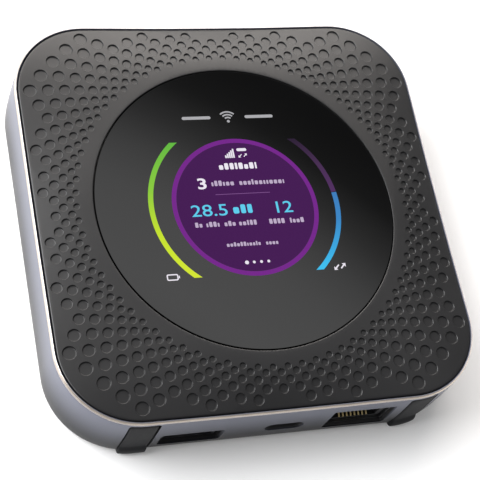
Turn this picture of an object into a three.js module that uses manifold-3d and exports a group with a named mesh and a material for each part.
import * as THREE from 'three';
import { mergeVertices } from 'three/addons/utils/BufferGeometryUtils.js';
import Module from 'manifold-3d';

// Pocket mobile hotspot, 105.5 x 105.5 x 21.5 mm.
// Frame: +Z up, ports on the -Y wall, origin on the rest plane under the middle of the body.

// ---------- driving dimensions (mm) ----------
const HALF = 52.75;          // half of the body's plan size
const CORNER_R = 19.55;      // plan radius of the body's corners at HALF
const CORE = HALF - CORNER_R; // half size of the square that the corner arcs are struck from
const HEIGHT = 21.5;         // rest plane to the glass
const BAND_Z0 = 0.7;         // underside of the side band
const BAND_IN = 51.0;        // half size inside the band
const BAND_REBATE = 51.95;   // half size of the rebate that the top plate drops into
const REBATE_Z = 17.4;
const PLATE_HALF = 51.6;
const PLATE_R = 18.4;
const PLATE_T = 1.4;
const HUB_R = 38.05;         // hole in the top plate
const GLASS_R = 37.75;
const GLASS_T = 1.1;
const GAP = 0.3;             // clearance between seated pieces
const CHASSIS_HALF = 50.7;
const FLOOR_Z0 = 2.4, FLOOR_Z1 = 3.4;     // chassis floor
const ROOF_Z0 = 9.2, ROOF_Z1 = 10.2;      // roof of the battery bay
const BAY = { x0: -40.5, x1: 40.5, y0: -26.5, y1: 36.5 };
const BAY_WALL = 1.2;
const COVER_HALF = 43.0, COVER_R = 12.0, COVER_Z0 = 0.9, COVER_Z1 = 2.1;
const BATTERY = { x: 40.1, y0: -26.1, y1: 36.1, z0: 2.5, z1: 8.8 };
const PCB_HALF = 48.6, PCB_Z0 = 11.0, PCB_Z1 = 12.0;
const FOOT_R = 2.9, FOOT_H = 0.7, FOOT_AT = 42.2;
const USBA = { x: -20.35, z: 7.1, w: 13.1, h: 5.7, t: 0.4, y0: -51.4, y1: -37.6 };
const USBA_RECESS = { x0: -27.8, x1: -12.9, z0: 3.9, z1: 10.3 };
const USBC = { x: 2.6, z: 8.5, w: 8.94, h: 3.2, t: 0.32, y0: -51.2, y1: -43.4 };
const RJ = { x0: 13.9, x1: 29.5, z0: 4.2, z1: 14.7, t: 0.4, y0: -51.6, y1: -34.0 };
const RJ_CAVITY = { w: 11.7, z0: 5.6, z1: 12.2, notchW: 6.2, notchZ: 13.4, back: -38.6 };
const RJ_PITCH = 1.02;
const FLAP_W = 6.7, FLAP_T = 2.3, FLAP_TOP = 18.0, FLAP_BOTTOM = 0.4;
const FLAP_L_X = -33.5;      // middle of the left antenna cover
const FLAP_R_ANG = 8.8;      // the right antenna cover stands on the corner, turned by this many degrees
const FLAP_AXIS_Z = FLAP_BOTTOM + FLAP_T / 2;
const BUTTON = { x: 0, z: 13.9, w: 11.0, h: 3.2, face: 52.6, back: 49.4 };
const SCREWS = [[-20, -31.8], [6, -31.8], [-30, 41.2], [30, 41.2]];

const wasm = await Module();
wasm.setup();

// ---------- geometry helpers ----------
const bare = (geo) => {
  const g = geo.index ? geo.toNonIndexed() : geo.clone();
  for (const k of Object.keys(g.attributes)) if (k !== 'position') g.deleteAttribute(k);
  g.clearGroups();
  return mergeVertices(g, 1e-4);
};
const solid = (geo) => {
  if (!geo.isBufferGeometry) return geo;
  const g = bare(geo);
  return new wasm.Manifold(new wasm.Mesh({
    numProp: 3,
    vertProperties: new Float32Array(g.attributes.position.array),
    triVerts: new Uint32Array(g.index.array),
  }));
};
const toGeometry = (m) => {
  const q = m.getMesh();
  const g = new THREE.BufferGeometry();
  g.setAttribute('position', new THREE.BufferAttribute(new Float32Array(q.vertProperties), 3));
  g.setIndex(new THREE.BufferAttribute(new Uint32Array(q.triVerts), 1));
  g.computeVertexNormals();
  return g;
};
const cut = (base, ...tools) => tools.flat().reduce((a, t) => a.subtract(solid(t)), solid(base));
const join = (base, ...more) => more.flat().reduce((a, t) => a.add(solid(t)), solid(base));
const keep = (base, tool) => solid(base).intersect(solid(tool));

const box = (x0, x1, y0, y1, z0, z1) =>
  new THREE.BoxGeometry(x1 - x0, y1 - y0, z1 - z0).translate((x0 + x1) / 2, (y0 + y1) / 2, (z0 + z1) / 2);
const post = (r, z0, z1, x, y, seg = 20) =>
  new THREE.CylinderGeometry(r, r, z1 - z0, seg).rotateX(Math.PI / 2).translate(x, y, (z0 + z1) / 2);
const barrelY = (r, y0, y1, x, z, seg = 20) =>
  new THREE.CylinderGeometry(r, r, y1 - y0, seg).translate(x, (y0 + y1) / 2, z);
function roundRect(x0, x1, y0, y1, r, parts = 1) {
  const s = new THREE.Shape();
  const run = (ax, ay, bx, by) => { for (let i = 1; i <= parts; i++) s.lineTo(ax + (bx - ax) * i / parts, ay + (by - ay) * i / parts); };
  s.moveTo(x0 + r, y0);
  run(x0 + r, y0, x1 - r, y0); s.absarc(x1 - r, y0 + r, r, -Math.PI / 2, 0, false);
  run(x1, y0 + r, x1, y1 - r); s.absarc(x1 - r, y1 - r, r, 0, Math.PI / 2, false);
  run(x1 - r, y1, x0 + r, y1); s.absarc(x0 + r, y1 - r, r, Math.PI / 2, Math.PI, false);
  run(x0, y1 - r, x0, y0 + r); s.absarc(x0 + r, y0 + r, r, Math.PI, Math.PI * 1.5, false);
  return s;
}
const slab = (shape, z0, z1, seg = 6) =>
  new THREE.ExtrudeGeometry(shape, { depth: z1 - z0, bevelEnabled: false, curveSegments: seg }).translate(0, 0, z0);
const square = (half, r, parts = 1) => roundRect(-half, half, -half, half, r, parts);
// a shape drawn in (x, z), filling y0..y1
const alongY = (shape, y0, y1, seg = 8) => {
  const g = new THREE.ExtrudeGeometry(shape, { depth: y1 - y0, bevelEnabled: false, curveSegments: seg });
  g.applyMatrix4(new THREE.Matrix4().makeBasis(
    new THREE.Vector3(1, 0, 0), new THREE.Vector3(0, 0, 1), new THREE.Vector3(0, -1, 0)));
  return g.translate(0, y1, 0);
};
// a shape drawn in (y, z), filling x0..x1
const alongX = (shape, x0, x1, seg = 8) => {
  const g = new THREE.ExtrudeGeometry(shape, { depth: x1 - x0, bevelEnabled: false, curveSegments: seg });
  g.applyMatrix4(new THREE.Matrix4().makeBasis(
    new THREE.Vector3(0, 1, 0), new THREE.Vector3(0, 0, 1), new THREE.Vector3(1, 0, 0)));
  return g.translate(x0, 0, 0);
};
// a strip of constant thickness following points in (y, z)
function ribbon(points, t) {
  const left = [], right = [];
  for (let i = 0; i < points.length; i++) {
    const a = points[Math.max(0, i - 1)], b = points[Math.min(points.length - 1, i + 1)];
    const d = [b[0] - a[0], b[1] - a[1]], l = Math.hypot(...d), n = [-d[1] / l, d[0] / l];
    left.push(new THREE.Vector2(points[i][0] + n[0] * t / 2, points[i][1] + n[1] * t / 2));
    right.push(new THREE.Vector2(points[i][0] - n[0] * t / 2, points[i][1] - n[1] * t / 2));
  }
  return new THREE.Shape([...right, ...left.reverse()]);
}

const group = new THREE.Group();
function part(name, shape, color, roughness, metalness, parent = group) {
  const geometry = shape.isBufferGeometry ? bare(shape) : toGeometry(shape);
  geometry.computeVertexNormals();
  const mesh = new THREE.Mesh(geometry, new THREE.MeshStandardMaterial({ color, roughness, metalness }));
  mesh.name = name;
  parent.add(mesh);
  return mesh;
}

// ---------- outer skin ----------
// height of the crowned top at (x, y)
function crown(x, y) {
  const rho = Math.hypot(x, y), q = Math.cos(4 * Math.atan2(y, x));
  const t = Math.min(Math.max((rho - 38) / 10, 0), 2.75);
  const c = [0.276, 0.695, -0.142, -0.021, 0.693, -0.177];
  return HEIGHT - (c[0] * t + c[1] * t * t + c[2] * t ** 3 + q * (c[3] * t + c[4] * t * t + c[5] * t ** 3));
}
// radius of a rounded square in direction angle
function squareRadius(half, r, a) {
  const c = Math.abs(Math.cos(a)), s = Math.abs(Math.sin(a)), k = half - r;
  const flat = half / Math.max(c, s);
  if (Math.min(c, s) * flat <= k) return flat;
  const b = k * (c + s);
  return b + Math.sqrt(Math.max(b * b - 2 * k * k + r * r, 0));
}
// band levels: height, outward step from HALF; the last two follow the crowned rim
const LEVELS = [[0.7, -1.0], [1.2, -0.52], [3.0, -0.16], [8.0, 0.0], [16.5, -0.14], [0, -0.3], [0, -0.62]];
function bandShell() {
  const n = LEVELS.length - 1;
  const g = new THREE.ExtrudeGeometry(square(HALF, CORNER_R, 4), { depth: 1, steps: n, bevelEnabled: false, curveSegments: 9 });
  const p = g.attributes.position;
  for (let i = 0; i < p.count; i++) {
    const level = Math.round(p.getZ(i) * n), L = LEVELS[level];
    let x = p.getX(i), y = p.getY(i);
    const cx = Math.max(-CORE, Math.min(CORE, x)), cy = Math.max(-CORE, Math.min(CORE, y));
    const d = Math.hypot(x - cx, y - cy), want = CORNER_R + L[1];
    x = cx + (x - cx) / d * want; y = cy + (y - cy) / d * want;
    const rim = crown(x, y);
    p.setXYZ(i, x, y, level === n ? rim + 0.05 : level === n - 1 ? rim - 0.4 : L[0]);
  }
  return g;
}
const FLAP_R_X = CORE + Math.sin(FLAP_R_ANG * Math.PI / 180) * CORNER_R; // middle of the right cover
const FLAP_R_Y = -CORE - Math.cos(FLAP_R_ANG * Math.PI / 180) * CORNER_R;
const atRightFlap = (geo) => geo.rotateZ(FLAP_R_ANG * Math.PI / 180).translate(FLAP_R_X, FLAP_R_Y, 0);
const atLeftFlap = (geo) => geo.translate(FLAP_L_X, -HALF, 0);
const flapHole = () => alongY(roundRect(-FLAP_W / 2 - GAP, FLAP_W / 2 + GAP, -3, FLAP_TOP + GAP, 1.0), -3, 5, 4);

const band = cut(bandShell(),
  slab(square(BAND_IN, BAND_IN - CORE), -1, REBATE_Z + 0.5, 9),
  slab(square(BAND_REBATE, BAND_REBATE - CORE), REBATE_Z, 30, 9),
  alongY(roundRect(USBA_RECESS.x0, USBA_RECESS.x1, USBA_RECESS.z0, USBA_RECESS.z1, 0.5), -56, -45, 4),
  alongY(roundRect(USBC.x - 4.8, USBC.x + 4.8, USBC.z - 1.95, USBC.z + 1.95, 1.9), -56, -45, 6),
  alongY(roundRect(RJ.x0 - GAP, RJ.x1 + GAP, RJ.z0 - GAP, RJ.z1 + GAP, 0.5), -56, -45, 4),
  atLeftFlap(flapHole()), atRightFlap(flapHole()),
  alongY(roundRect(BUTTON.x - BUTTON.w / 2 - GAP, BUTTON.x + BUTTON.w / 2 + GAP,
    BUTTON.z - BUTTON.h / 2 - GAP, BUTTON.z + BUTTON.h / 2 + GAP, BUTTON.h / 2 + GAP - 0.05), 45, 56, 8));
part('side_band', band, 0x9a9aa4, 0.42, 0.55);

{
  // crowned top plate: a closed ring profile turned round Z, then drawn out to the square outline
  const n = 5, pts = [];
  for (let i = 0; i <= n; i++) pts.push(new THREE.Vector2(10 + i, -1));
  for (let i = n; i >= 0; i--) pts.push(new THREE.Vector2(10 + i, 0));
  pts.push(pts[0].clone());
  const g = new THREE.LatheGeometry(pts, 80).rotateX(Math.PI / 2);
  const p = g.attributes.position;
  for (let i = 0; i < p.count; i++) {
    const x = p.getX(i), y = p.getY(i), a = Math.atan2(y, x), u = (Math.hypot(x, y) - 10) / n;
    const r = HUB_R + u * (squareRadius(PLATE_HALF, PLATE_R, a) - HUB_R);
    const X = r * Math.cos(a), Y = r * Math.sin(a);
    p.setXYZ(i, X, Y, crown(X, Y) + (p.getZ(i) < -0.5 ? -PLATE_T : 0));
  }
  part('top_plate', g, 0x3c3c3f, 0.55, 0.0);
}
part('display_glass', post(GLASS_R, HEIGHT - GLASS_T, HEIGHT, 0, 0, 72), 0x0b0b0d, 0.06, 0.0);
part('display_carrier', cut(post(41.0, 18.2, 19.5, 0, 0, 48), post(33.2, 17, 21, 0, 0, 48)), 0x18181a, 0.6, 0.0);
part('lcd_module', slab(roundRect(-25.2, 25.2, -20, 20, 1), 18.3, 20.0, 3), 0x1c1024, 0.3, 0.0);
part('lcd_ribbon', alongX(ribbon([[-16, 17.95], [-22, 17.95], [-24, 17.3], [-24.8, 16], [-24.8, 14.4], [-24.2, 13.3], [-23, 12.75], [-21.4, 12.6]], 0.25), -7, 7), 0x8a5a1e, 0.5, 0.0);
part('lcd_connector', box(-8, 8, -21, -18, PCB_Z1 + GAP, PCB_Z1 + 1.2), 0xd8d2c0, 0.5, 0.0);
part('heat_spreader', cut(slab(roundRect(-34, 34, -14, 30, 3), 16.6, 17.2, 3), [[-29, -9], [29, -9], [-29, 25], [29, 25]].map(([x, y]) => post(1.3, 16, 18, x, y, 12))), 0x8c9094, 0.4, 0.9);

// ---------- chassis with the battery bay ----------
{
  const outer = square(CHASSIS_HALF, CHASSIS_HALF - CORE);
  const ring = cut(slab(outer, 1.0, FLOOR_Z1, 8), slab(square(COVER_HALF + GAP, COVER_R + GAP), 0, FLOOR_Z0, 8));
  const bayOut = box(BAY.x0 - BAY_WALL, BAY.x1 + BAY_WALL, BAY.y0 - BAY_WALL, BAY.y1 + BAY_WALL, FLOOR_Z0 + 0.1, ROOF_Z1);
  const roof = slab(roundRect(-47.5, 47.5, -29.6, 46.5, 8), ROOF_Z0, ROOF_Z1, 6);
  const skirt = cut(slab(roundRect(-47.5, 47.5, -29.6, 46.5, 8), FLOOR_Z1 - 0.1, ROOF_Z0 + 0.1, 6), slab(roundRect(-46.3, 46.3, -28.4, 45.3, 7), 0, 12, 6));
  const bosses = SCREWS.map(([x, y]) => post(3.0, FLOOR_Z0 + 0.1, 10.6, x, y, 18));
  let c = join(ring, bayOut, roof, skirt, bosses);
  c = cut(c, box(BAY.x0, BAY.x1, BAY.y0, BAY.y1, -1, ROOF_Z0),
    SCREWS.map(([x, y]) => post(1.25, 0, 12, x, y, 14)), SCREWS.map(([x, y]) => post(2.4, 0, 4.1, x, y, 18)),
    box(-17.1, -1.4, -11.3, 4.4, 8, 11), box(3.4, 18.1, -11.3, 4.4, 8, 11),  // windows for the card sockets
    box(12.6, 27.4, 35, 47, 4.0, 9.19),                                        // window for the battery contacts
    post(1.5, 8, 12, -33, -20, 16),                                             // reset button
    // the antenna covers' feet and hinge ends
    atLeftFlap(box(-FLAP_W / 2 - 0.4, FLAP_W / 2 + 0.4, -2, FLAP_T + 0.75, -1, 4)),
    atRightFlap(box(-FLAP_W / 2 - 0.4, FLAP_W / 2 + 0.4, -2, FLAP_T + 0.75, -1, 4)));
  part('bottom_chassis', c, 0x202023, 0.6, 0.0);
}
part('battery_cover', (() => {
  const plate = slab(square(COVER_HALF, COVER_R), COVER_Z0, COVER_Z1, 8);
  return cut(plate, post(7.5, 0, 1.55, 0, -COVER_HALF + 1.5, 28), box(-30, 30, -1.2, 1.2, 0, COVER_Z0 + 0.35));
})(), 0x1d1d20, 0.65, 0.0);
part('battery_pack', (() => {
  const b = slab(roundRect(-BATTERY.x, BATTERY.x, BATTERY.y0, BATTERY.y1, 2), BATTERY.z0, BATTERY.z1, 4);
  return cut(b, box(14, 26, BATTERY.y1 - 0.9, 60, 4.6, 7.4));
})(), 0x2c2c30, 0.5, 0.0);
part('battery_contacts', join(box(14, 26, 38.3, 43.2, 4.4, 8.8), [16, 18.7, 21.3, 24].map((x) => box(x - 0.4, x + 0.4, 36.5, 38.6, 5.0, 7.0))), 0xc9a24a, 0.35, 0.8);

// ---------- circuit board ----------
{
  const board = slab(square(PCB_HALF, 15), PCB_Z0, PCB_Z1, 6);
  part('main_pcb', cut(board,
    box(RJ.x0 - GAP, RJ.x1 + GAP, -60, RJ.y1 + 0.5, 8, 14),
    atLeftFlap(box(-6, 6, -5, 5.6, 8, 14)), atRightFlap(box(-6, 6, -5, 5.6, 8, 14)),
    SCREWS.map(([x, y]) => post(1.25, 8, 14, x, y, 14))), 0x17402c, 0.5, 0.0);
}
const can = (name, x0, x1, y0, y1, h, color) => part(name,
  cut(box(x0, x1, y0, y1, PCB_Z1 + GAP, PCB_Z1 + GAP + h), box(x0 + 0.5, x1 - 0.5, y0 + 0.5, y1 - 0.5, 11, PCB_Z1 + h - 0.2)), color, 0.35, 0.9);
can('processor_shield', -33, -5, -11, 15, 2.3, 0xb4b6b8);
can('modem_shield', 1, 33, -11, 19, 2.3, 0xb0b2b5);
can('radio_shield', -33, -5, 19, 35, 2.0, 0xaeb0b3);
part('thermal_pad', box(-29, -9, -7, 11, 15.0, 16.2), 0x8fa3b8, 0.8, 0.0);
part('sim_socket', cut(box(-16.8, -1.7, -11, 4.1, 9.35, 10.65), box(-15.6, -2.9, -12, 2.6, 9.7, 10.3)), 0xb9bbbd, 0.35, 0.85);
part('microsd_socket', cut(box(3.7, 17.8, -11, 4.1, 9.35, 10.65), box(4.9, 16.6, -12, 2.6, 9.7, 10.3)), 0xb9bbbd, 0.35, 0.85);
part('reset_switch', box(-34.6, -31.4, -21.6, -18.4, 10.25, 10.75), 0xbfc1c3, 0.4, 0.6);
part('reset_button', join(post(1.1, 8.95, 9.95, -33, -20, 14)), 0x2a2a2d, 0.55, 0.0);

// ---------- front sockets ----------
{
  const u = USBA, sh = roundRect(u.x - u.w / 2, u.x + u.w / 2, u.z - u.h / 2, u.z + u.h / 2, 0.5);
  const inn = roundRect(u.x - u.w / 2 + u.t, u.x + u.w / 2 - u.t, u.z - u.h / 2 + u.t, u.z + u.h / 2 - u.t, 0.3);
  part('usb_a_shell', cut(alongY(sh, u.y0, u.y1, 4), alongY(inn, u.y0 - 1, u.y1 - 0.6, 4)), 0xb8babd, 0.3, 0.9);
  part('usb_a_tongue', join(box(u.x - 5.6, u.x + 5.6, u.y0 + 1.0, u.y1 - 2.2, u.z + 0.05, u.z + 1.9),
    box(u.x - 5.8, u.x + 5.8, u.y1 - 2.4, u.y1 - 0.9, u.z - 2.1, u.z + 2.1)), 0x151517, 0.5, 0.0);
}
{
  const u = USBC, sh = roundRect(u.x - u.w / 2, u.x + u.w / 2, u.z - u.h / 2, u.z + u.h / 2, u.h / 2 - 0.02);
  const inn = roundRect(u.x - u.w / 2 + u.t, u.x + u.w / 2 - u.t, u.z - u.h / 2 + u.t, u.z + u.h / 2 - u.t, u.h / 2 - u.t - 0.02);
  part('usb_c_shell', cut(alongY(sh, u.y0, u.y1, 8), alongY(inn, u.y0 - 1, u.y1 - 0.5, 8)), 0xb8babd, 0.3, 0.9);
  part('usb_c_tongue', join(box(u.x - 3.34, u.x + 3.34, u.y0 + 0.7, u.y1 - 1.4, u.z - 0.35, u.z + 0.35),
    box(u.x - 3.4, u.x + 3.4, u.y1 - 1.9, u.y1 - 0.8, u.z - 0.9, u.z + 0.9)), 0x1a1a1c, 0.5, 0.0);
}
{
  const r = RJ, c = RJ_CAVITY, mid = (r.x0 + r.x1) / 2;
  const sh = roundRect(r.x0, r.x1, r.z0, r.z1, 0.4);
  const inn = roundRect(r.x0 + r.t, r.x1 - r.t, r.z0 + r.t, r.z1 - r.t, 0.2);
  part('rj45_shield', cut(alongY(sh, r.y0, r.y1, 3), alongY(inn, r.y0 - 1, r.y1 + 1, 3)), 0xc2c4c6, 0.3, 0.9);
  const body = box(r.x0 + 0.7, r.x1 - 0.7, r.y0 + 0.6, r.y1 + 0.3, r.z0 + 0.7, r.z1 - 0.7);
  const slots = [];
  for (let i = 0; i < 8; i++) {
    const x = mid + (i - 3.5) * RJ_PITCH;
    slots.push(box(x - 0.36, x + 0.36, r.y0 + 1.4, c.back + 1.6, 5.05, c.z0 + 0.2));
  }
  part('rj45_housing', cut(body,
    box(mid - c.w / 2, mid + c.w / 2, r.y0 - 1, c.back, c.z0, c.z1),
    box(mid - c.notchW / 2, mid + c.notchW / 2, r.y0 - 1, c.back, c.z1 - 0.1, c.notchZ), slots), 0x101012, 0.5, 0.0);
  for (let i = 0; i < 8; i++) {
    const x = mid + (i - 3.5) * RJ_PITCH;
    part(`rj45_contact_${i + 1}`, alongX(ribbon([[-51.0, 5.8], [-50.5, 5.95], [-49.1, 6.35], [-44.2, 8.7], [-40.4, 10.0], [-39.1, 10.1]], 0.3), x - 0.2, x + 0.2), 0xd9ad4e, 0.25, 1.0);
  }
}

// ---------- antenna sockets, pockets and covers ----------
const socket = () => cut(join(box(-2.6, 2.6, 5.9, 11.0, 6.8, 10.6), barrelY(2.3, 4.0, 6.2, 0, 8.7, 20)), barrelY(1.1, 3, 9, 0, 8.7, 14));
const pocket = () => cut(box(-FLAP_W / 2 - 1.2, FLAP_W / 2 + 1.2, 2.9, 3.6, 3.8, 16.6), barrelY(2.7, 2, 5, 0, 8.7, 20));
const move = (m, f) => f(toGeometry(solid(m)));
part('antenna_socket_left', move(socket(), atLeftFlap), 0xc8a552, 0.3, 0.9);
part('antenna_socket_right', move(socket(), atRightFlap), 0xc8a552, 0.3, 0.9);
part('antenna_pocket_left', move(pocket(), atLeftFlap), 0x1a1a1d, 0.6, 0.0);
part('antenna_pocket_right', move(pocket(), atRightFlap), 0x1a1a1d, 0.6, 0.0);
function flap() {
  // side profile in (y, z): flat blade with a round foot about the hinge axis
  const s = new THREE.Shape(), r = FLAP_T / 2;
  s.moveTo(0, FLAP_AXIS_Z);
  s.absarc(r, FLAP_AXIS_Z, r, Math.PI, 2 * Math.PI, false);
  s.lineTo(FLAP_T, FLAP_TOP);
  s.lineTo(0, FLAP_TOP);
  return alongX(s, -FLAP_W / 2, FLAP_W / 2, 8);
}
const skin = slab(square(HALF - 0.05, CORNER_R - 0.05), -1, 30, 12);
part('antenna_cover_left', keep(atLeftFlap(flap()), skin), 0x1b1b1e, 0.7, 0.0);
part('antenna_cover_right', keep(atRightFlap(flap()), skin), 0x1b1b1e, 0.7, 0.0);
part('antenna_strip_left', box(-50.2, -49.8, -30, 30, 5, 12.6), 0xb07a3c, 0.4, 0.6);
part('antenna_strip_right', box(49.8, 50.2, -30, 30, 5, 12.6), 0xb07a3c, 0.4, 0.6);

// ---------- power button ----------
{
  const b = BUTTON;
  const cap = alongY(roundRect(b.x - b.w / 2, b.x + b.w / 2, b.z - b.h / 2, b.z + b.h / 2, b.h / 2 - 0.02), b.back + 0.6, b.face, 8);
  const flange = alongY(roundRect(b.x - b.w / 2 - 1.6, b.x + b.w / 2 + 1.6, b.z - b.h / 2 - 0.9, b.z + b.h / 2 + 0.9, 1.5), b.back, b.back + 1.1, 4);
  part('power_button', join(cap, flange), 0x8e8e97, 0.4, 0.5);
  part('power_switch', join(box(-3.2, 3.2, 44.2, 48.0, PCB_Z1 + GAP, 15.4), barrelY(1.2, 47.9, 48.7, 0, b.z, 14)), 0xc4c6c8, 0.35, 0.8);
}

// ---------- screws and feet ----------
SCREWS.forEach(([x, y], i) => part(`case_screw_${i + 1}`,
  cut(join(post(2.05, 2.7, 3.9, x, y, 16), post(0.95, 3.8, 12.8, x, y, 12)), box(x - 1.2, x + 1.2, y - 0.22, y + 0.22, 2, 3.2), box(x - 0.22, x + 0.22, y - 1.2, y + 1.2, 2, 3.2)), 0x9a9ca0, 0.3, 0.9));
[['front_left', -1, -1], ['front_right', 1, -1], ['rear_left', -1, 1], ['rear_right', 1, 1]].forEach(([n, sx, sy]) =>
  part(`foot_${n}`, post(FOOT_R, 0, FOOT_H, sx * FOOT_AT, sy * FOOT_AT, 24), 0x161618, 0.9, 0.0));

export default group;
